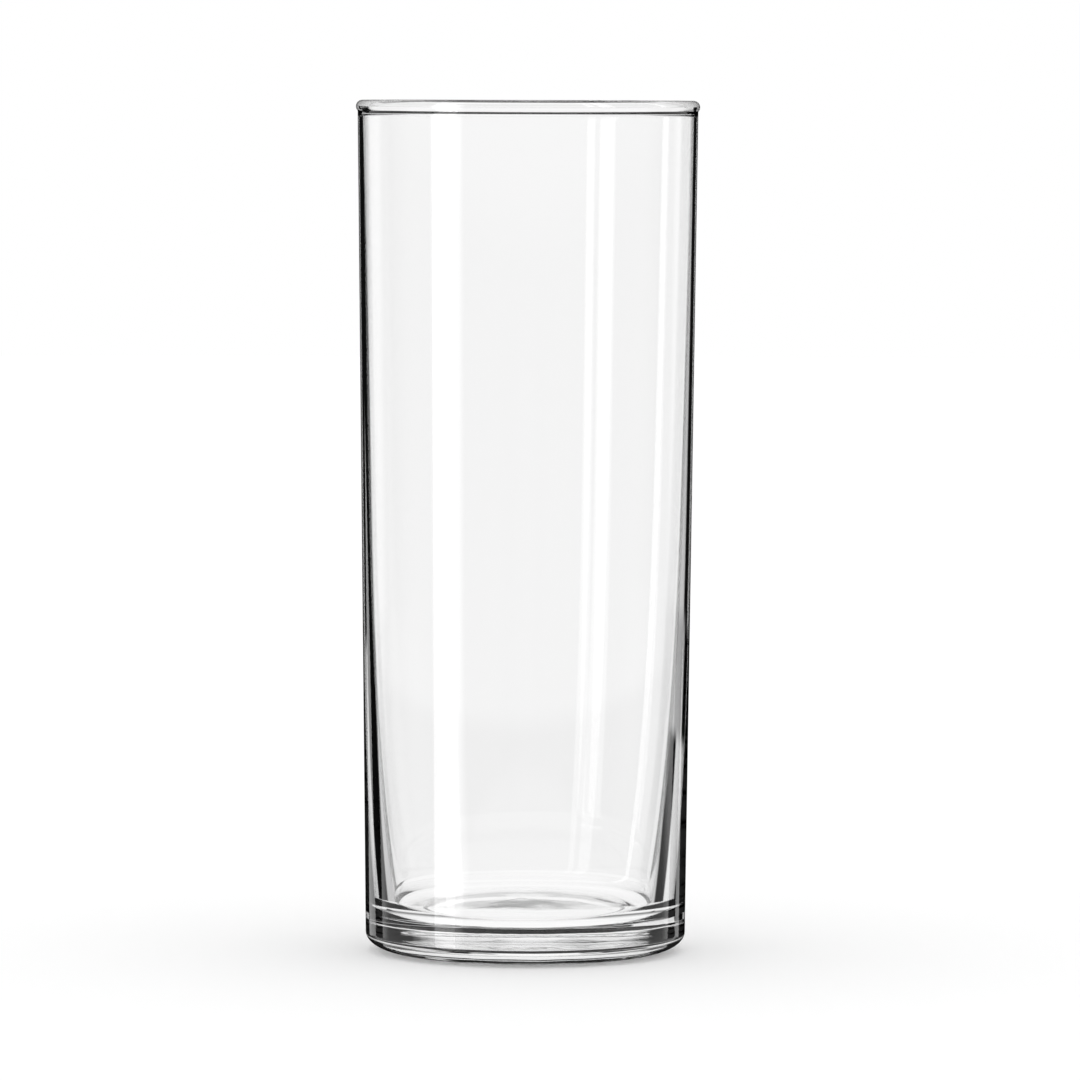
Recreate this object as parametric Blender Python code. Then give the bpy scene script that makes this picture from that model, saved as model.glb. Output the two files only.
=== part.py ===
"""Zombie glass: a tall, nearly straight tumbler of clear glass.

The real glass is one continuous piece. It is turned here as the four zones that are formed separately when
such a glass is made: the bead at the rim, the side wall, the thick base and the ring that the glass stands
on. The zones are cut apart at level planes. Units are metres, +Z is up, and the origin is on the axis at the
face that the glass stands on.
"""

import math

import bmesh
import bpy

# Overall sizes
HEIGHT = 0.160
RIM_DIAMETER = 0.0645
BASE_DIAMETER = 0.0602

# Rim bead: a round section, standing a little proud of the wall
BEAD_DIAMETER = 0.0024
BEAD_OVERHANG = 0.0003
BEAD_STUB = 0.0006

# Wall: thin at the rim, thickening evenly all the way down, with a swell that gathers towards the base
WALL_AT_RIM = 0.0009
WALL_TAPER = 0.0009
WALL_SWELL = 0.0050
SWELL_POWER = 5.3

# Inside of the base
FLOOR_LEVEL = 0.0066
FLOOR_FILLET = 0.0046
BASE_COLLAR = 0.0015

# Outside of the base: the heel is a quarter of an ellipse
HEEL_HEIGHT = 0.0036
HEEL_WIDTH = 0.0066

# Bearing ring and the shallow dome of the underside within it
RING_HEIGHT = 0.0008
RING_FACE_WIDTH = 0.0035
RING_INNER_ROUND = 0.0012
UNDERSIDE_DOME = 0.0004

# Gap left at each level plane between two zones
ZONE_GAP = 0.0003

# Fineness of the turned meshes
TURN_STEPS = 72
BEAD_STEPS = 6
WALL_STEPS = 14
FILLET_STEPS = 6
HEEL_STEPS = 4
DOME_STEPS = 4
SHARP_ANGLE = math.radians(35)
MERGE_DISTANCE = 1e-7

# Clear soda-lime glass
GLASS_COLOUR = (0.96, 0.97, 0.97, 1.0)
GLASS_IOR = 1.52
POLISHED_ROUGHNESS = 0.02
MOULDED_ROUGHNESS = 0.06

rim_radius = RIM_DIAMETER / 2
base_radius = BASE_DIAMETER / 2
bead_radius = BEAD_DIAMETER / 2
bead_level = HEIGHT - BEAD_DIAMETER - BEAD_STUB
wall_level = FLOOR_LEVEL + FLOOR_FILLET + BASE_COLLAR


def clear_scene():
    """Remove every object that the file opened with."""
    for item in list(bpy.data.objects):
        bpy.data.objects.remove(item, do_unlink=True)


def clear_glass(name, roughness):
    """Return a clear glass finish of the given roughness."""
    finish = bpy.data.materials.new(name)
    finish.use_nodes = True
    shader = finish.node_tree.nodes["Principled BSDF"]
    shader.inputs["Base Color"].default_value = GLASS_COLOUR
    shader.inputs["Metallic"].default_value = 0.0
    shader.inputs["Roughness"].default_value = roughness
    shader.inputs["IOR"].default_value = GLASS_IOR
    shader.inputs["Transmission Weight"].default_value = 1.0
    return finish


def ellipse_arc(centre, width, height, start, end, steps):
    """Return (radius, level) points along an ellipse from one angle to another, in radians."""
    points = []
    for step in range(steps + 1):
        angle = start + (end - start) * step / steps
        points.append((centre[0] + width * math.cos(angle), centre[1] + height * math.sin(angle)))
    return points


def outer_radius(level):
    """Return the radius of the outside at a level: the heel below, the straight taper above."""
    if level < HEEL_HEIGHT:
        drop = (HEEL_HEIGHT - level) / HEEL_HEIGHT
        return base_radius - HEEL_WIDTH * (1 - math.sqrt(1 - drop * drop))
    rise = (level - HEEL_HEIGHT) / (HEIGHT - HEEL_HEIGHT)
    return base_radius + (rim_radius - BEAD_OVERHANG - base_radius) * rise


def inner_radius(level):
    """Return the radius of the inside of the wall at a level."""
    depth = (HEIGHT - level) / HEIGHT
    thickness = WALL_AT_RIM + WALL_TAPER * depth + WALL_SWELL * depth ** SWELL_POWER
    return outer_radius(level) - thickness


def inner_wall(low, high, steps):
    """Return points up the inside of the wall between two levels."""
    levels = [low + (high - low) * step / steps for step in range(steps + 1)]
    return [(inner_radius(level), level) for level in levels]


def heel(high, low):
    """Return points down the heel between two levels."""
    start = -math.asin((HEEL_HEIGHT - high) / HEEL_HEIGHT)
    end = -math.asin((HEEL_HEIGHT - low) / HEEL_HEIGHT)
    centre = (base_radius - HEEL_WIDTH, HEEL_HEIGHT)
    return ellipse_arc(centre, HEEL_WIDTH, HEEL_HEIGHT, start, end, HEEL_STEPS)


def ring_inner_radius():
    """Return the radius of the ring's inner edge, where the domed underside begins."""
    return base_radius - HEEL_WIDTH - RING_FACE_WIDTH - RING_INNER_ROUND


def bead_outline():
    """Return the bead's closed section, with its stub of wall."""
    centre = (rim_radius - bead_radius, HEIGHT - bead_radius)
    inside = inner_radius(bead_level)
    outside = outer_radius(bead_level)
    start = math.tau - math.acos((inside - centre[0]) / bead_radius)
    crest = math.pi / 2
    end = -math.acos((outside - centre[0]) / bead_radius)
    inner_side = ellipse_arc(centre, bead_radius, bead_radius, start, crest, BEAD_STEPS)
    shoulder = ellipse_arc(centre, bead_radius, bead_radius, crest, 0.0, BEAD_STEPS // 2)
    underside = ellipse_arc(centre, bead_radius, bead_radius, 0.0, end, BEAD_STEPS // 2)
    return [(inside, bead_level)] + inner_side + shoulder[1:] + underside[1:] + [(outside, bead_level)]


def wall_outline():
    """Return the side wall's closed section, from the base's collar to the bead's stub."""
    top = bead_level - ZONE_GAP
    outside = [(outer_radius(level), level) for level in (top, wall_level)]
    return inner_wall(wall_level, top, WALL_STEPS) + outside


def floor_corner():
    """Return points from the floor up the rounded corner, ending tangent to the inside of the wall."""
    corner = FLOOR_LEVEL + FLOOR_FILLET
    lean = math.atan2(inner_radius(corner) - inner_radius(FLOOR_LEVEL), FLOOR_FILLET)
    meeting = FLOOR_LEVEL + FLOOR_FILLET * (1 - math.sin(lean))
    centre = (inner_radius(meeting) - FLOOR_FILLET * math.cos(lean), corner)
    return ellipse_arc(centre, FLOOR_FILLET, FLOOR_FILLET, -math.pi / 2, -lean, FILLET_STEPS)


def base_outline():
    """Return the base's section, from the axis at the floor round to the axis at the underside."""
    top = wall_level - ZONE_GAP
    bottom = RING_HEIGHT + ZONE_GAP
    edge = ring_inner_radius()
    dome = []
    for step in range(DOME_STEPS + 1):
        share = 1 - step / DOME_STEPS
        dome.append((edge * share, bottom + UNDERSIDE_DOME * (1 - share * share)))
    floor = [(0.0, FLOOR_LEVEL)] + floor_corner()
    rim = [(inner_radius(top), top), (outer_radius(top), top)]
    return floor + rim + heel(HEEL_HEIGHT, bottom) + dome


def ring_outline():
    """Return the bearing ring's closed section: heel outside, flat face below, rounded edge inside."""
    centre = (ring_inner_radius() + RING_INNER_ROUND, RING_HEIGHT)
    inner_edge = ellipse_arc(centre, RING_INNER_ROUND, RING_HEIGHT, -math.pi / 2, -math.pi, HEEL_STEPS)
    return heel(RING_HEIGHT, 0.0) + inner_edge


def turned(name, outline, level, finish, closed):
    """Turn an outline of (radius, level) points about the axis, as an object that sits at the given level."""
    shape = bmesh.new()
    corners = [shape.verts.new((radius, 0.0, height - level)) for radius, height in outline]
    edges = [shape.edges.new(pair) for pair in zip(corners, corners[1:])]
    if closed:
        edges.append(shape.edges.new((corners[-1], corners[0])))
    bmesh.ops.spin(shape, geom=corners + edges, cent=(0, 0, 0), axis=(0, 0, 1), angle=math.tau,
                   steps=TURN_STEPS, use_merge=True)
    bmesh.ops.remove_doubles(shape, verts=shape.verts, dist=MERGE_DISTANCE)
    bmesh.ops.recalc_face_normals(shape, faces=shape.faces)
    mesh = bpy.data.meshes.new(name)
    shape.to_mesh(mesh)
    shape.free()
    mesh.materials.append(finish)
    mesh.shade_smooth()
    mesh.set_sharp_from_angle(angle=SHARP_ANGLE)
    piece = bpy.data.objects.new(name, mesh)
    piece.location.z = level
    bpy.context.collection.objects.link(piece)
    return piece


def build_glass():
    """Turn the four zones and hang them on one empty at the origin."""
    polished = clear_glass("fire_polished_glass", POLISHED_ROUGHNESS)
    blown = clear_glass("blown_glass", POLISHED_ROUGHNESS)
    settled = clear_glass("thick_base_glass", POLISHED_ROUGHNESS)
    moulded = clear_glass("moulded_ring_glass", MOULDED_ROUGHNESS)
    zones = [
        turned("rim_bead", bead_outline(), bead_level, polished, closed=True),
        turned("side_wall", wall_outline(), wall_level, blown, closed=True),
        turned("base_floor", base_outline(), RING_HEIGHT + ZONE_GAP, settled, closed=False),
        turned("bearing_ring", ring_outline(), 0.0, moulded, closed=True),
    ]
    axis = bpy.data.objects.new("glass_axis", None)
    bpy.context.collection.objects.link(axis)
    for zone in zones:
        zone.parent = axis


clear_scene()
build_glass()
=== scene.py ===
"""Looks of a zombie glass: one continuous vessel of clear glass in a glassware studio.

Lengths are metres. Bearings and elevations are degrees. A bearing is measured round the glass from +Y
towards -X, so bearing 0 is straight behind the glass as the photograph sees it, and bearings left of it
are positive. An elevation is above the horizon.
"""

import math
from collections import namedtuple

import bmesh
import bpy
from bpy.props import FloatProperty, FloatVectorProperty, PointerProperty
from mathutils import Matrix, Vector, noise


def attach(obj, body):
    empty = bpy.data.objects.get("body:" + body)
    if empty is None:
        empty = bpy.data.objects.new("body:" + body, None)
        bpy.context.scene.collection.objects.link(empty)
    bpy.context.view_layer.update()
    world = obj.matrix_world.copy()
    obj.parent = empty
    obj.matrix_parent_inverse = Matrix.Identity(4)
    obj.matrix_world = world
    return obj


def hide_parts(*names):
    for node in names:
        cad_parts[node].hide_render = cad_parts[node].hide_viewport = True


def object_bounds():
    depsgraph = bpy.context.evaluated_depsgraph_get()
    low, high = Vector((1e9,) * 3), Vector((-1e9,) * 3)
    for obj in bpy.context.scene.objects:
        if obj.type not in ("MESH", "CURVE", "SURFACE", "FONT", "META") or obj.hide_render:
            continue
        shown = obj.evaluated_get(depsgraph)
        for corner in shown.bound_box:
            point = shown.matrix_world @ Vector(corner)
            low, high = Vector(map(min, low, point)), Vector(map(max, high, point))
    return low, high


bl_info = {
    "name": "Zombie Glass",
    "version": (1, 0, 0),
    "blender": (4, 5, 0),
    "location": "View3D > Sidebar > Zombie Glass",
    "description": "Turns a tall clear tumbler over its packed frame and sets it in a glassware studio",
    "category": "Add Mesh",
}

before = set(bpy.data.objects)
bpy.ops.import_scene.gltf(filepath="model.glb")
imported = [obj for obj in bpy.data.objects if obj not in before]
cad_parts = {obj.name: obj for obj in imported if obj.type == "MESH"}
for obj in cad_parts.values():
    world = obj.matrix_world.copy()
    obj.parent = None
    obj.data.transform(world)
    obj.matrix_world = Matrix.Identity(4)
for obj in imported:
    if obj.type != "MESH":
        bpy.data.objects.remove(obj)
CAD_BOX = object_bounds()
CAD_HEIGHT = CAD_BOX[1][2] - CAD_BOX[0][2]
CAD_WIDTH = CAD_BOX[1][0] - CAD_BOX[0][0]
VESSEL_NODES = ("rim_bead", "side_wall", "base_floor", "bearing_ring")

# Fineness of the vessel's mesh
TURN_STEPS = 288
WALL_STEPS = 160
SIDE_STEPS = 40
BEAD_STEPS = 40
CURVE_STEPS = 24
MERGE_DISTANCE = 1e-7


class GlassSizes(bpy.types.PropertyGroup):
    """Sizes of the vessel."""

    height: FloatProperty(name="Height", description="Height of the glass", unit="LENGTH",
                          default=CAD_HEIGHT)
    rim_diameter: FloatProperty(name="Rim Diameter", description="Width across the bead", unit="LENGTH",
                                default=CAD_WIDTH)
    base_diameter: FloatProperty(name="Base Diameter", description="Width just above the heel",
                                 unit="LENGTH", default=0.0602)
    bead_diameter: FloatProperty(name="Bead Diameter", description="Thickness of the bead", unit="LENGTH",
                                 default=0.0024)
    bead_overhang: FloatProperty(name="Bead Overhang", description="How far the bead stands out of the wall",
                                 unit="LENGTH", default=0.0003)
    bead_neck: FloatProperty(name="Bead Neck", description="Straight wall kept below the bead",
                             unit="LENGTH", default=0.0006)
    wall_at_rim: FloatProperty(name="Wall at Rim", description="Wall thickness at the rim", unit="LENGTH",
                               default=0.0009)
    wall_taper: FloatProperty(name="Wall Taper", description="Even thickening from the rim to the table",
                              unit="LENGTH", default=0.0009)
    wall_swell: FloatProperty(name="Wall Swell", description="Further thickening that gathers at the base",
                              unit="LENGTH", default=0.0050)
    swell_power: FloatProperty(name="Swell Power", description="How late the swell sets in", default=5.3)
    floor_level: FloatProperty(name="Floor Level", description="Height of the inside floor", unit="LENGTH",
                               default=0.0066)
    floor_fillet: FloatProperty(name="Floor Corner", description="Radius of the inside corner",
                                unit="LENGTH", default=0.0046)
    heel_height: FloatProperty(name="Heel Height", description="Height of the rounded heel", unit="LENGTH",
                               default=0.0036)
    heel_width: FloatProperty(name="Heel Width", description="Width of the rounded heel", unit="LENGTH",
                              default=0.0066)
    ring_height: FloatProperty(name="Ring Height", description="Height of the bearing ring", unit="LENGTH",
                               default=0.0008)
    ring_face: FloatProperty(name="Ring Face", description="Width of the flat that the glass stands on",
                             unit="LENGTH", default=0.0035)
    ring_cove: FloatProperty(name="Ring Cove", description="Run of the slope from the ring to the underside",
                             unit="LENGTH", default=0.0012)
    underside_dome: FloatProperty(name="Underside Dome", description="Rise of the underside within the ring",
                                  unit="LENGTH", default=0.0004)
    cavity_offset: FloatProperty(name="Cavity Offset", description="How far the floor stands off centre",
                                 unit="LENGTH", default=0.00036)
    wall_ripple: FloatProperty(name="Wall Ripple", description="Unevenness of the blown inside",
                               unit="LENGTH", precision=7, default=0.000006)
    floor_ripple: FloatProperty(name="Floor Ripple", description="Unevenness of the settled floor",
                                unit="LENGTH", default=0.00005)


class GlassFinish(bpy.types.PropertyGroup):
    """Finish of the glass."""

    colour: FloatVectorProperty(name="Glass Colour", description="Tint of the clear glass", subtype="COLOR",
                                size=4, min=0.0, max=1.0, default=(1.0, 1.0, 1.0, 1.0))
    refraction: FloatProperty(name="Refraction", description="Index of refraction of soda-lime glass",
                              default=1.52)
    wave_depth: FloatProperty(name="Wave Depth", description="Depth of the long mould waves", unit="LENGTH",
                              precision=7, default=0.000003)
    chill_depth: FloatProperty(name="Chill Depth", description="Depth of the chill marks round the base",
                               unit="LENGTH", precision=7, default=0.000010)
    haze: FloatProperty(name="Haze", description="Roughness of the least polished patches", subtype="FACTOR",
                        min=0.0, max=1.0, default=0.03)


class StudioSettings(bpy.types.PropertyGroup):
    """Camera and floor of the studio."""

    lens: FloatProperty(name="Lens", description="Focal length in millimetres", unit="CAMERA", default=244.3)
    distance: FloatProperty(name="Distance", description="Camera to the glass's axis", unit="LENGTH",
                            default=1.376)
    camera_height: FloatProperty(name="Camera Height", description="Camera above the table", unit="LENGTH",
                                 default=0.1632)
    tilt: FloatProperty(name="Tilt", description="Camera's downward tilt", subtype="ANGLE",
                        default=math.radians(3.566))
    pan: FloatProperty(name="Pan", description="Camera's turn to the right", subtype="ANGLE",
                       default=math.radians(0.105))
    roll: FloatProperty(name="Roll", description="Camera's turn about its own line of sight",
                        subtype="ANGLE", default=math.radians(0.200))
    floor_radius: FloatProperty(name="Floor Radius", description="Reach of the floor", unit="LENGTH",
                                default=3.0)
    floor_gap: FloatProperty(name="Floor Gap", description="Air between the floor and the glass",
                             unit="LENGTH", default=0.0001)
    floor_colour: FloatVectorProperty(name="Floor Colour", description="Paint of the floor", subtype="COLOR",
                                      size=4, min=0.0, max=1.0, default=(0.98, 0.98, 0.98, 1.0))


def arc(centre, width, height, start, end, steps):
    """Return (radius, level) points along an ellipse from one angle to another, in radians."""
    points = []
    for step in range(steps + 1):
        angle = start + (end - start) * step / steps
        points.append((centre[0] + width * math.cos(angle), centre[1] + height * math.sin(angle)))
    return points


def outer_radius(sizes, level):
    """Return the outside radius of the tapering wall at a level."""
    base = sizes.base_diameter / 2
    top = sizes.rim_diameter / 2 - sizes.bead_overhang
    return base + (top - base) * (level - sizes.heel_height) / (sizes.height - sizes.heel_height)


def inner_radius(sizes, level):
    """Return the inside radius of the wall at a level."""
    depth = (sizes.height - level) / sizes.height
    thickness = sizes.wall_at_rim + sizes.wall_taper * depth + sizes.wall_swell * depth ** sizes.swell_power
    return outer_radius(sizes, level) - thickness


def spaced(low, high, steps):
    """Return levels from one to another, closer together towards both ends."""
    return [low + (high - low) * (1 - math.cos(math.pi * step / steps)) / 2 for step in range(steps + 1)]


def underside_outline(sizes):
    """Return points from the axis under the base out to the top of the heel."""
    flat_outer = sizes.base_diameter / 2 - sizes.heel_width
    edge = flat_outer - sizes.ring_face - sizes.ring_cove
    points = []
    for step in range(CURVE_STEPS + 1):
        share = step / CURVE_STEPS
        points.append((edge * share, sizes.ring_height + sizes.underside_dome * (1 - share * share)))
    for step in range(1, CURVE_STEPS + 1):
        share = step / CURVE_STEPS
        level = sizes.ring_height * (1 + math.cos(math.pi * share)) / 2
        points.append((edge + sizes.ring_cove * share, level))
    heel = arc((flat_outer, sizes.heel_height), sizes.heel_width, sizes.heel_height,
               -math.pi / 2, 0.0, CURVE_STEPS)
    return points + heel


def rim_outline(sizes):
    """Return points up the outside of the wall and over the bead, to the inside just below it."""
    bead = sizes.bead_diameter / 2
    centre = (sizes.rim_diameter / 2 - bead, sizes.height - bead)
    neck = sizes.height - sizes.bead_diameter - sizes.bead_neck
    levels = spaced(sizes.heel_height, neck, SIDE_STEPS)[1:]
    points = [(outer_radius(sizes, level), level) for level in levels]
    start = -math.acos((outer_radius(sizes, neck) - centre[0]) / bead)
    end = math.tau - math.acos((inner_radius(sizes, neck) - centre[0]) / bead)
    return points + arc(centre, bead, bead, start, end, BEAD_STEPS)


def inside_outline(sizes):
    """Return points down the inside of the wall and round its corner to the axis on the floor."""
    neck = sizes.height - sizes.bead_diameter - sizes.bead_neck
    corner = sizes.floor_level + sizes.floor_fillet
    spread = inner_radius(sizes, corner) - inner_radius(sizes, sizes.floor_level)
    lean = math.atan2(spread, sizes.floor_fillet)
    meeting = corner - sizes.floor_fillet * math.sin(lean)
    points = [(inner_radius(sizes, level), level) for level in spaced(neck, meeting, WALL_STEPS)]
    centre = (inner_radius(sizes, meeting) - sizes.floor_fillet * math.cos(lean), corner)
    points += arc(centre, sizes.floor_fillet, sizes.floor_fillet, -lean, -math.pi / 2, CURVE_STEPS)[1:]
    for step in range(1, CURVE_STEPS + 1):
        points.append((centre[0] * (1 - step / CURVE_STEPS), sizes.floor_level))
    return points


# Grain of the inside's unevenness, in ripples per metre across and along the wall and across the floor. Just
# below the rim the inside is still round, and the ripples set in over a stretch of the wall below that.
WALL_GRAIN = Vector((120.0, 120.0, 14.0))
FLOOR_GRAIN = Vector((260.0, 120.0, 0.0))
RIM_STILL = 0.006
RIPPLE_ONSET = 0.012
# How late the inside leaves the glass's axis on the way down
OFFSET_POWER = 2


def uneven(sizes, place):
    """Return a point of the surface, moved if it is inside, which blowing leaves uneven and off centre."""
    radius = math.hypot(place.x, place.y)
    inside = radius <= inner_radius(sizes, place.z) + MERGE_DISTANCE
    if not inside or place.z < sizes.floor_level - MERGE_DISTANCE:
        return place
    calm = min((sizes.height - place.z - RIM_STILL) / RIPPLE_ONSET, 1.0)
    if calm <= 0.0:
        return place
    stretch = sizes.wall_ripple * calm * noise.noise(place * WALL_GRAIN) / max(radius, sizes.floor_fillet)
    sink = sizes.floor_ripple * noise.noise(place * FLOOR_GRAIN)
    sink *= max(1.0 - (place.z - sizes.floor_level) / sizes.floor_fillet, 0.0)
    shift = sizes.cavity_offset * (1.0 - place.z / sizes.height) ** OFFSET_POWER
    return Vector((place.x * (1 + stretch) - shift, place.y * (1 + stretch), place.z + sink))


# Light Path counts in whole numbers, and each of these stands between two of them: something has happened to
# light at least once, or many times over, or light has passed through enough glass to be at the back of it
AT_LEAST_ONCE = 0.5
MANY_TIMES = 2.5
BACK_PASSES = 3.5
# The share of each axis that a level direction keeps
LEVEL_ONLY = (1.0, 1.0, 0.0)


class NodeTable:
    """Short names for adding and joining shader nodes."""

    def __init__(self, tree):
        self.tree = tree
        tree.nodes.clear()

    def add(self, kind, **settings):
        """Add a node of a kind with its settings."""
        node = self.tree.nodes.new(kind)
        for name, value in settings.items():
            setattr(node, name, value)
        return node

    def feed(self, socket, source):
        """Join a source to a socket, or set the socket to a plain value."""
        if isinstance(source, bpy.types.NodeSocket):
            self.tree.links.new(source, socket)
        else:
            socket.default_value = source

    def math(self, operation, first, second):
        """Return the result of a sum on two sources."""
        node = self.add("ShaderNodeMath", operation=operation)
        self.feed(node.inputs[0], first)
        self.feed(node.inputs[1], second)
        return node.outputs[0]

    def vector(self, operation, first, second):
        """Return the node of a sum on two vectors."""
        node = self.add("ShaderNodeVectorMath", operation=operation)
        self.feed(node.inputs[0], first)
        self.feed(node.inputs[1], second)
        return node

    def level_way(self, way):
        """Return the level direction of a place or a direction."""
        node = self.add("ShaderNodeVectorMath", operation="NORMALIZE")
        self.feed(node.inputs[0], self.vector("MULTIPLY", way, LEVEL_ONLY).outputs[0])
        return node.outputs[0]

    def height(self, way):
        """Return the height of a place or a direction."""
        node = self.add("ShaderNodeSeparateXYZ")
        self.feed(node.inputs[0], way)
        return node.outputs["Z"]

    def ease(self, value, low, high):
        """Return a smooth step from 0 at low to 1 at high."""
        node = self.add("ShaderNodeMapRange", interpolation_type="SMOOTHSTEP")
        for socket, source in zip(node.inputs, (value, low, high)):
            self.feed(socket, source)
        return node.outputs[0]

    def mix(self, share, first, second):
        """Return first at share 0 and second at share 1."""
        node = self.add("ShaderNodeMix", data_type="FLOAT")
        for socket, source in zip((node.inputs[0], node.inputs[2], node.inputs[3]), (share, first, second)):
            self.feed(socket, source)
        return node.outputs[0]

    def blend(self, share, first, second):
        """Return the node of the first shader at share 0 and the second at share 1."""
        node = self.add("ShaderNodeMixShader")
        for socket, source in zip(node.inputs, (share, first.outputs[0], second.outputs[0])):
            self.feed(socket, source)
        return node

    def seen_in_glass(self):
        """Return 1 for what the camera sees in glass, and 0 for all else, such as the light on the floor."""
        path = self.add("ShaderNodeLightPath")
        glass = self.math("MAXIMUM", path.outputs["Is Transmission Ray"], path.outputs["Is Glossy Ray"])
        clear = self.math("LESS_THAN", path.outputs["Diffuse Depth"], AT_LEAST_ONCE)
        return self.math("MULTIPLY", glass, clear)


def new_finish(name):
    """Return a new material and the empty table of its nodes."""
    finish = bpy.data.materials.new(name)
    finish.use_nodes = True
    return finish, NodeTable(finish.node_tree)


def add_object(context, name, shape, finish):
    """Return a new object of a shape in a finish."""
    mesh = bpy.data.meshes.new(name)
    shape.to_mesh(mesh)
    shape.free()
    mesh.materials.append(finish)
    item = bpy.data.objects.new(name, mesh)
    context.collection.objects.link(item)
    return item


# Grain of the surface, in ripples per metre, and its fineness: long mould waves up the wall, finer chill
# marks round the base, full below one level and gone above another, and patches of polish
WAVE_GRAIN = (70.0, 70.0, 12.0)
WAVE_DETAIL = 1.0
CHILL_GRAIN = (260.0, 260.0, 420.0)
CHILL_DETAIL = 2.0
CHILL_FULL = 0.004
CHILL_GONE = 0.009
POLISH_GRAIN = (90.0, 90.0, 40.0)
POLISH_DETAIL = 3.0
POLISH_RANGE = (0.45, 0.75)


def noise_at(table, place, grain, detail):
    """Return a smooth noise laid out at a number of ripples per metre."""
    source = table.add("ShaderNodeTexNoise")
    source.inputs["Scale"].default_value = 1.0
    source.inputs["Detail"].default_value = detail
    table.feed(source.inputs["Vector"], table.vector("MULTIPLY", place, grain).outputs[0])
    return source.outputs["Fac"]


def glass_finish(settings):
    """Return clear soda-lime glass: fire-polished, with mould waves, and chill marks towards the base."""
    finish, table = new_finish("clear_glass")
    place = table.add("ShaderNodeTexCoord").outputs["Object"]
    waves = table.add("ShaderNodeBump")
    waves.inputs["Distance"].default_value = settings.wave_depth
    table.feed(waves.inputs["Height"], noise_at(table, place, WAVE_GRAIN, WAVE_DETAIL))
    marks = table.add("ShaderNodeBump")
    marks.inputs["Distance"].default_value = settings.chill_depth
    table.feed(marks.inputs["Strength"], table.ease(table.height(place), CHILL_GONE, CHILL_FULL))
    table.feed(marks.inputs["Height"], noise_at(table, place, CHILL_GRAIN, CHILL_DETAIL))
    table.feed(marks.inputs["Normal"], waves.outputs[0])
    polish = table.ease(noise_at(table, place, POLISH_GRAIN, POLISH_DETAIL), *POLISH_RANGE)
    shader = table.add("ShaderNodeBsdfPrincipled")
    shader.inputs["Base Color"].default_value = settings.colour
    shader.inputs["IOR"].default_value = settings.refraction
    shader.inputs["Transmission Weight"].default_value = 1.0
    table.feed(shader.inputs["Roughness"], table.math("MULTIPLY", polish, settings.haze))
    table.feed(shader.inputs["Normal"], marks.outputs[0])
    output = table.add("ShaderNodeOutputMaterial")
    table.feed(output.inputs["Surface"], shader.outputs[0])
    return finish


class ZOMBIE_OT_vessel(bpy.types.Operator):
    """Turn the vessel as one closed body of glass."""

    bl_idname = "zombie_glass.vessel"
    bl_label = "Turn Vessel"

    def execute(self, context):
        sizes = context.scene.zombie_sizes
        outline = underside_outline(sizes) + rim_outline(sizes) + inside_outline(sizes)
        shape = bmesh.new()
        corners = [shape.verts.new((radius, 0.0, level)) for radius, level in outline]
        edges = [shape.edges.new(pair) for pair in zip(corners, corners[1:])]
        bmesh.ops.spin(shape, geom=corners + edges, cent=(0, 0, 0), axis=(0, 0, 1), angle=math.tau,
                       steps=TURN_STEPS, use_merge=True)
        bmesh.ops.remove_doubles(shape, verts=shape.verts, dist=MERGE_DISTANCE)
        bmesh.ops.recalc_face_normals(shape, faces=shape.faces)
        for vert in shape.verts:
            vert.co = uneven(sizes, vert.co)
        vessel = add_object(context, "vessel", shape, glass_finish(context.scene.zombie_finish))
        vessel.data.shade_smooth()
        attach(vessel, "root")
        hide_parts(*VESSEL_NODES)
        return {"FINISHED"}


# Brightness of the studio's panels and flags
BLACK = 0.0
WHITE = 1.0
TABLE_WHITE = 0.95
FRONT_ROOM = 0.4
FRONT_TABLE = 0.1
SIDE_ROOM = 0.5
SIDE_TABLE = 0.65
RIGHT_TABLE = 0.55
FLANK = 0.85
OUTER_FLANK = 1.2
SKY = 0.95
BACK_SKY = 0.55
LOW_SKY = 0.05
NADIR = 0.1
LOST = 0.02
FLOOR_LIGHT = 1.07

# Brightness of its strips of light
FRONT_STRIP = 3.5
FRONT_HALO = 1.8
BACK_STRIP = 2.2
REAR_STRIP = 2.6

# Elevations at which one tier of the studio ends and the next begins, lowest first
STRAIGHT_DOWN = -90.0
UNDERFOOT_TOP = -66.0
NADIR_TOP = -49.0
STEEP_TOP = -34.0
TABLE_FOOT = -26.0
VIEW_FOOT = -19.5
RIGHT_TABLE_TOP = -12.5
TABLE_TOP = -8.0
BACKDROP_TOP = 0.6
OVERHEAD = 50.0
TIER_SOFTNESS = 0.5

# Elevations between which light mirrored many times over comes in, to the front of the glass and to its back
FRONT_OPENING = 42.0
FRONT_OPEN_SKY = 60.0
BACK_OPENING = 46.0
BACK_OPENING_TOP = 72.0

# A card is a panel or flag that glass sees: how bright it is, its bearing, how far it spreads either side,
# the softness of its sides and how fast it widens downwards. A tier is a band of cards above an elevation,
# laid in order over the tier's own brightness. A ray has a level direction and a height.
Card = namedtuple("Card", "level bearing spread softness lean", defaults=(1, 0))
Tier = namedtuple("Tier", "low level cards", defaults=((),))
Ray = namedtuple("Ray", "level_way height")
BEHIND = 0
SIDE_SPREAD = 100
SIDE_SOFTNESS = 12
VIEW_FLAG = 29
VIEW_PANEL = 12.5


def view_cards(bearing):
    """Return a white panel on a black flag, behind the glass as another view sees it."""
    return (Card(BLACK, bearing, VIEW_FLAG), Card(WHITE, bearing, VIEW_PANEL))


def side_card(level):
    """Return a card that reaches round both sides of the glass and fades out towards the front."""
    return Card(level, BEHIND, SIDE_SPREAD, SIDE_SOFTNESS)


NADIR_TIERS = (
    Tier(STRAIGHT_DOWN, WHITE),
    Tier(UNDERFOOT_TOP, NADIR),
)
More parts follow.
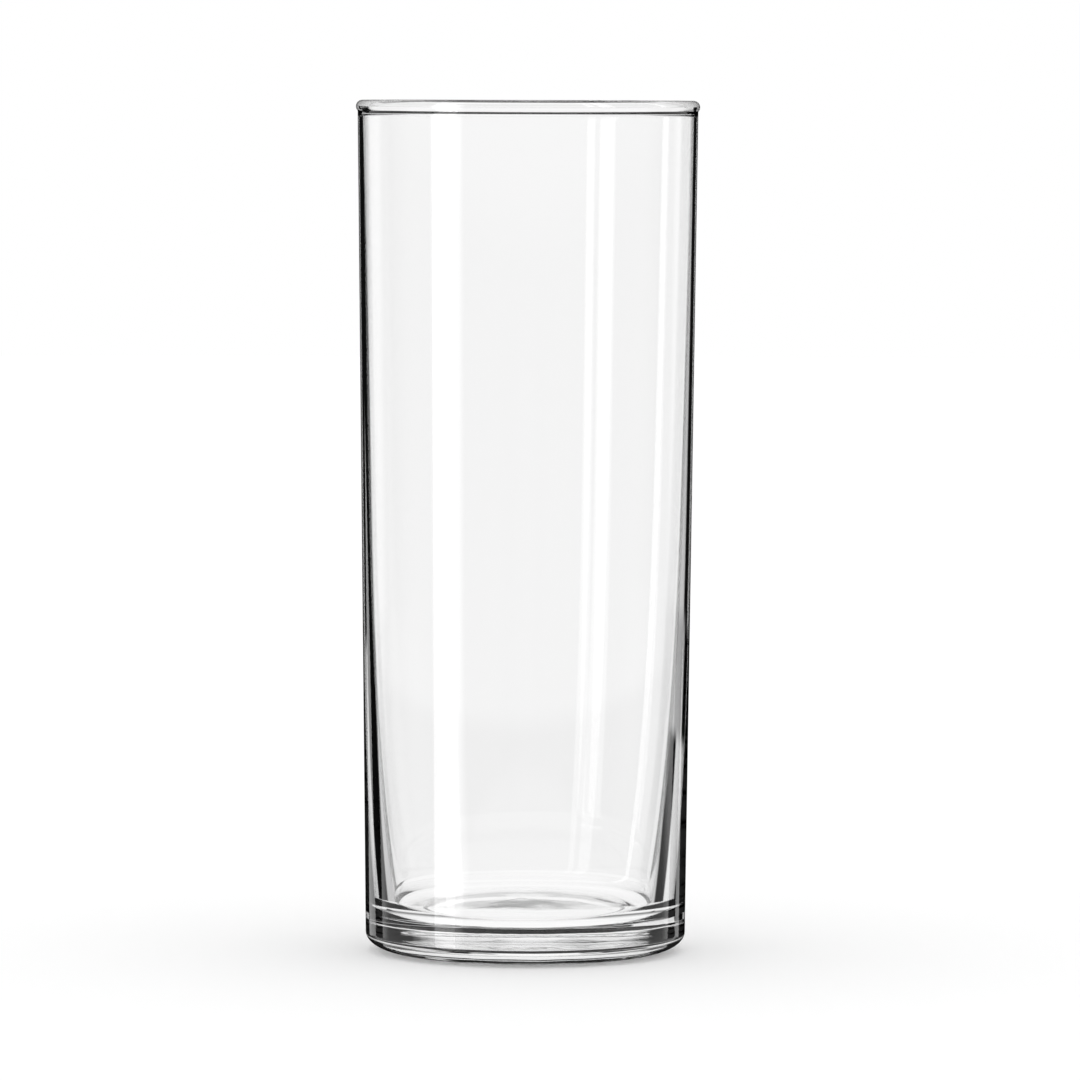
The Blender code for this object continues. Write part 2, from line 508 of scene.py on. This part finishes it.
# What light straight through the glass sees: a white panel between black flags behind the glass, a black
# flag low down for the bead, and cards for each of three other views
STRAIGHT = NADIR_TIERS + (
    Tier(NADIR_TOP, WHITE, (Card(BLACK, BEHIND, 40),) + view_cards(45)),
    Tier(STEEP_TOP, WHITE, view_cards(45)),
    Tier(VIEW_FOOT, TABLE_WHITE, view_cards(225) + (
        Card(SIDE_TABLE, BEHIND, 80, SIDE_SOFTNESS),
        Card(BLACK, -3, 43.5, softness=1.5),
        Card(TABLE_WHITE, BEHIND, 10.3, lean=0.265),
    )),
    Tier(TABLE_TOP, WHITE, view_cards(90) + (
        Card(FLANK, BEHIND, 58, softness=5),
        Card(BLACK, -22, 53),
        Card(WHITE, BEHIND, 10.3, lean=0.265),
    )),
    Tier(BACKDROP_TOP, SKY),
)
# What light mirrored inside the glass sees
TABLE_CARDS = (
    side_card(SIDE_TABLE),
    Card(BLACK, -4, 43, softness=1.5),
    Card(WHITE, -6, 26, softness=1.5),
)
INSIDE = NADIR_TIERS + (
    Tier(NADIR_TOP, WHITE),
    Tier(TABLE_FOOT, FRONT_ROOM, TABLE_CARDS),
    Tier(RIGHT_TABLE_TOP, FRONT_ROOM, TABLE_CARDS + (
        Card(RIGHT_TABLE, -36, 15, softness=2),
        Card(BLACK, -14, 6.5, softness=1.5),
    )),
    Tier(TABLE_TOP, FRONT_ROOM, (
        side_card(SIDE_ROOM),
        Card(FLANK, BEHIND, 60, softness=5),
        Card(BLACK, 6.5, 31.5, softness=2),
        Card(WHITE, BEHIND, 13.5),
    )),
    Tier(BACKDROP_TOP, SKY),
)
# What the outside of the glass mirrors
OUTSIDE = NADIR_TIERS + (
    Tier(NADIR_TOP, WHITE),
    Tier(TABLE_FOOT, FRONT_TABLE, (
        side_card(SIDE_TABLE),
        Card(BLACK, BEHIND, 40, softness=1.5),
    )),
    Tier(TABLE_TOP, FRONT_ROOM, (
        side_card(SIDE_ROOM),
        Card(OUTER_FLANK, BEHIND, 60, softness=5),
        Card(BLACK, BEHIND, 27.1, softness=1.5, lean=2.47),
        Card(WHITE, BEHIND, 3.6, softness=0.8, lean=2.07),
        Card(BLACK, -3.5, 30),
    )),
    Tier(BACKDROP_TOP, LOW_SKY),
    Tier(OVERHEAD, SKY),
)
# What light mirrored many times over sees: most of it is lost, except for what comes in from overhead
LOST_IN_FRONT = (
    Tier(STRAIGHT_DOWN, LOST),
    Tier(FRONT_OPENING, SKY, (Card(LOST, 10, 40, softness=5),)),
    Tier(FRONT_OPEN_SKY, SKY),
)
LOST_IN_BACK = (
    Tier(STRAIGHT_DOWN, LOST),
    Tier(BACK_OPENING, BACK_SKY),
    Tier(BACK_OPENING_TOP, LOST),
)
# Strips of light, as the front of the glass and as its back mirror them, and how far they reach up and down
FRONT_STRIPS = (
    Card(FRONT_STRIP, 120, 8.5, softness=0.8),
    Card(FRONT_HALO, 122.5, 10.5, softness=4.5),
)
BACK_STRIPS = (
    Card(BACK_STRIP, 121.5, 6, softness=1.2),
    Card(BACK_STRIP, 134.5, 2.8, softness=1.2),
    Card(REAR_STRIP, 63.8, 3.4, softness=0.9),
)
STRIP_REACH = 35
STRIP_SOFTNESS = 5


def rise(elevation):
    """Return the height of a unit direction at an elevation in degrees."""
    return math.sin(math.radians(elevation))


def card_mask(table, ray, card):
    """Return 1 where a ray falls on a card, and 0 beside it."""
    angle = math.radians(card.bearing)
    toward = (-math.sin(angle), math.cos(angle), 0.0)
    facing = table.vector("DOT_PRODUCT", ray.level_way, toward).outputs["Value"]
    if card.lean:
        facing = table.math("SUBTRACT", facing, table.math("MULTIPLY", ray.height, card.lean))
    far = math.cos(math.radians(card.spread + card.softness))
    near = math.cos(math.radians(card.spread - card.softness))
    return table.ease(facing, far, near)


def above(table, ray, elevation):
    """Return 1 above an elevation, and 0 below it."""
    return table.ease(ray.height, rise(elevation - TIER_SOFTNESS), rise(elevation + TIER_SOFTNESS))


def stacked(table, ray, tiers):
    """Return the brightness of tiers of cards, one above another from straight down."""
    level = BLACK
    for tier in tiers:
        band = tier.level
        for card in tier.cards:
            band = table.mix(card_mask(table, ray, card), band, card.level)
        level = table.mix(above(table, ray, tier.low), level, band) if tier.low > STRAIGHT_DOWN else band
    return level


# The ways in which glass has mirrored light: once, at all, on its outside, inside its front or its back, and
# many times over
Mirrorings = namedtuple("Mirrorings", "once any outside front back many")


def mirrorings(table):
    """Return 1 or 0 for each of the ways in which glass has mirrored light."""
    path = table.add("ShaderNodeLightPath")
    count = path.outputs["Glossy Depth"]
    passes = path.outputs["Transmission Depth"]
    once = table.math("COMPARE", count, 1.0)
    mirrored = table.math("GREATER_THAN", count, AT_LEAST_ONCE)
    outside = table.math("MULTIPLY", mirrored, table.math("LESS_THAN", passes, AT_LEAST_ONCE))
    back = table.math("GREATER_THAN", passes, BACK_PASSES)
    many = table.math("GREATER_THAN", count, MANY_TIMES)
    elsewhere = table.math("MAXIMUM", outside, table.math("MAXIMUM", back, many))
    front = table.math("MULTIPLY", mirrored, table.math("SUBTRACT", WHITE, elsewhere))
    return Mirrorings(once, mirrored, outside, front, back, many)


def studio_cards(table):
    """Return the brightness that glass sees in each direction."""
    way = table.add("ShaderNodeTexCoord").outputs["Generated"]
    ray = Ray(table.level_way(way), table.height(way))
    mirrored = mirrorings(table)
    level = table.mix(mirrored.any, stacked(table, ray, STRAIGHT), stacked(table, ray, INSIDE))
    level = table.mix(mirrored.outside, level, stacked(table, ray, OUTSIDE))
    lost = table.mix(mirrored.back, stacked(table, ray, LOST_IN_FRONT), stacked(table, ray, LOST_IN_BACK))
    level = table.mix(mirrored.many, level, lost)
    height = table.math("ABSOLUTE", ray.height, 0.0)
    reach = table.ease(height, rise(STRIP_REACH + STRIP_SOFTNESS), rise(STRIP_REACH - STRIP_SOFTNESS))
    once = table.math("MULTIPLY", mirrored.once, reach)
    back = table.math("MULTIPLY", once, mirrored.back)
    for strips, share in ((FRONT_STRIPS, table.math("SUBTRACT", once, back)), (BACK_STRIPS, back)):
        for strip in strips:
            glow = table.math("MULTIPLY", card_mask(table, ray, strip), strip.level)
            level = table.math("MAXIMUM", level, table.math("MULTIPLY", glow, share))
    return level


def light_world(world):
    """Give the world its cards for glass, white for the camera and plain light for the floor."""
    world.use_nodes = True
    table = NodeTable(world.node_tree)
    direct = table.mix(table.add("ShaderNodeLightPath").outputs["Is Camera Ray"], FLOOR_LIGHT, WHITE)
    background = table.add("ShaderNodeBackground")
    background.inputs["Color"].default_value = (1.0, 1.0, 1.0, 1.0)
    table.feed(background.inputs["Strength"], table.mix(table.seen_in_glass(), direct, studio_cards(table)))
    output = table.add("ShaderNodeOutputWorld")
    table.feed(output.inputs["Surface"], background.outputs[0])
    world.cycles.sampling_method = "NONE"


# Under the glass the floor is a bright disc, and a wider one for light straight through the glass. Glass
# sees
# painted shadow on it: the outside of the glass mirrors the disc black, as a painted shadow in the crevice
# under the heel, light mirrored many times over sees it black, and for light mirrored inside the front a
# painted shadow darkens it towards its edge.
DISC_EDGE = 0.0295
WIDE_EDGE = 0.0420
DISC_SOFTNESS = 0.0012
SHADOW_FADE_START = 0.0250
SHADOW_FADE_END = 0.0300
FLOOR_SEGMENTS = 64


def floor_finish(colour):
    """Return the pale floor, which glass looks straight through except close under itself, where it sees a
    white disc with painted shadow.
    """
    finish, table = new_finish("pale_floor")
    radius = table.add("ShaderNodeVectorMath", operation="LENGTH")
    table.feed(radius.inputs[0], table.add("ShaderNodeNewGeometry").outputs["Position"])
    reach = radius.outputs["Value"]
    mirrored = mirrorings(table)
    edge = table.mix(mirrored.any, WIDE_EDGE, DISC_EDGE)
    outer = table.math("ADD", edge, DISC_SOFTNESS)
    disc = table.ease(reach, outer, table.math("SUBTRACT", edge, DISC_SOFTNESS))
    # Painted shadow under the glass: black for light mirrored on the outside or many times over, and growing
    # towards the disc's edge for light mirrored inside the front
    shadow_fade = table.math("MULTIPLY", mirrored.front, table.ease(reach, SHADOW_FADE_START, SHADOW_FADE_END))
    painted_shadow = table.math("MAXIMUM", shadow_fade, table.math("MAXIMUM", mirrored.outside, mirrored.many))
    glow = table.add("ShaderNodeEmission")
    table.feed(glow.inputs["Strength"], table.math("SUBTRACT", WHITE, painted_shadow))
    under = table.blend(disc, table.add("ShaderNodeBsdfTransparent"), glow)
    pale = table.add("ShaderNodeBsdfDiffuse")
    pale.inputs["Color"].default_value = colour
    output = table.add("ShaderNodeOutputMaterial")
    table.feed(output.inputs["Surface"], table.blend(table.seen_in_glass(), pale, under).outputs[0])
    return finish


# A low black flag round the glass, which only light rising out of the base sees. Its inner edge is wider to
# the left and right, and it has a gap behind the glass for light mirrored inside the front.
FLAG_LEVEL = 0.010
FLAG_INNER = 0.048
FLAG_STRETCH = Vector((1.5, 1.0, 1.0))
FLAG_OUTER = 0.300
FLAG_GAP = Card(WHITE, 5, 21, softness=3)
FLAG_SEGMENTS = 96


def flag_finish():
    """Return a black that glass sees from below, and that nothing else sees."""
    finish, table = new_finish("black_flag")
    black = table.add("ShaderNodeEmission")
    black.inputs["Strength"].default_value = BLACK
    geometry = table.add("ShaderNodeNewGeometry")
    outward = Ray(table.level_way(geometry.outputs["Position"]), FLAG_LEVEL)
    gap = card_mask(table, outward, FLAG_GAP)
    shut = table.math("SUBTRACT", WHITE, table.math("MULTIPLY", gap, mirrorings(table).front))
    below = table.math("MULTIPLY", geometry.outputs["Backfacing"], table.seen_in_glass())
    share = table.math("MULTIPLY", below, shut)
    output = table.add("ShaderNodeOutputMaterial")
    blended = table.blend(share, table.add("ShaderNodeBsdfTransparent"), black)
    table.feed(output.inputs["Surface"], blended.outputs[0])
    return finish


def hang_flag(context):
    """Hang the level ring of black flag just above the floor."""
    shape = bmesh.new()
    inner = bmesh.ops.create_circle(shape, radius=FLAG_INNER, segments=FLAG_SEGMENTS)["verts"]
    bmesh.ops.scale(shape, vec=FLAG_STRETCH, verts=inner)
    outer = bmesh.ops.create_circle(shape, radius=FLAG_OUTER, segments=FLAG_SEGMENTS)["verts"]
    edges = {edge for vert in inner + outer for edge in vert.link_edges}
    bmesh.ops.bridge_loops(shape, edges=list(edges))
    for face in shape.faces:
        face.normal_update()
        if face.normal.z < 0.0:
            face.normal_flip()
    flag = add_object(context, "flag", shape, flag_finish())
    flag.location.z = FLAG_LEVEL


def lay_floor(context, studio):
    """Lay the round floor just under the glass."""
    shape = bmesh.new()
    bmesh.ops.create_circle(shape, cap_ends=True, radius=studio.floor_radius, segments=FLOOR_SEGMENTS)
    floor = add_object(context, "floor", shape, floor_finish(studio.floor_colour))
    floor.location.z = -studio.floor_gap


# Width of the camera's sensor in millimetres
SENSOR_WIDTH = 36.0


def place_camera(context, studio):
    """Place the camera where the photograph was taken from."""
    camera = bpy.data.cameras.new("camera")
    camera.lens = studio.lens
    camera.sensor_width = SENSOR_WIDTH
    holder = bpy.data.objects.new("camera", camera)
    context.collection.objects.link(holder)
    turn = Matrix.Rotation(-studio.pan, 4, "Z") @ Matrix.Rotation(math.pi / 2 - studio.tilt, 4, "X")
    turn = turn @ Matrix.Rotation(studio.roll, 4, "Z")
    holder.matrix_world = Matrix.Translation((0.0, -studio.distance, studio.camera_height)) @ turn
    context.scene.camera = holder


# Bounces that light needs to find its way out of the base
MOST_BOUNCES = 64
GLOSSY_BOUNCES = 48
TRANSMISSION_BOUNCES = 32
TRANSPARENT_BOUNCES = 32


class ZOMBIE_OT_studio(bpy.types.Operator):
    """Lay the floor, hang the flag, light the world and place the camera."""

    bl_idname = "zombie_glass.studio"
    bl_label = "Set Studio"

    def execute(self, context):
        scene = context.scene
        lay_floor(context, scene.zombie_studio)
        hang_flag(context)
        scene.world = bpy.data.worlds.new("studio")
        light_world(scene.world)
        place_camera(context, scene.zombie_studio)
        scene.view_settings.view_transform = "Standard"
        scene.cycles.max_bounces = MOST_BOUNCES
        scene.cycles.glossy_bounces = GLOSSY_BOUNCES
        scene.cycles.transmission_bounces = TRANSMISSION_BOUNCES
        scene.cycles.transparent_max_bounces = TRANSPARENT_BOUNCES
        return {"FINISHED"}


class ZOMBIE_PT_panel(bpy.types.Panel):
    """Lists the glass and its studio."""

    bl_label = "Zombie Glass"
    bl_idname = "ZOMBIE_PT_panel"
    bl_space_type = "VIEW_3D"
    bl_region_type = "UI"
    bl_category = "Zombie Glass"

    def draw(self, context):
        """List the operators."""
        self.layout.operator(ZOMBIE_OT_vessel.bl_idname)
        self.layout.operator(ZOMBIE_OT_studio.bl_idname)


CLASSES = (GlassSizes, GlassFinish, StudioSettings, ZOMBIE_OT_vessel, ZOMBIE_OT_studio, ZOMBIE_PT_panel)


def register():
    """Register the classes and hang the settings on the scene."""
    for item in CLASSES:
        bpy.utils.register_class(item)
    bpy.types.Scene.zombie_sizes = PointerProperty(type=GlassSizes)
    bpy.types.Scene.zombie_finish = PointerProperty(type=GlassFinish)
    bpy.types.Scene.zombie_studio = PointerProperty(type=StudioSettings)


def unregister():
    """Take the settings off the scene and unregister the classes."""
    del bpy.types.Scene.zombie_studio
    del bpy.types.Scene.zombie_finish
    del bpy.types.Scene.zombie_sizes
    for item in reversed(CLASSES):
        bpy.utils.unregister_class(item)


def main():
    """Make the glass and its studio."""
    register()
    bpy.ops.zombie_glass.vessel()
    bpy.ops.zombie_glass.studio()


if __name__ == "__main__":
    main()
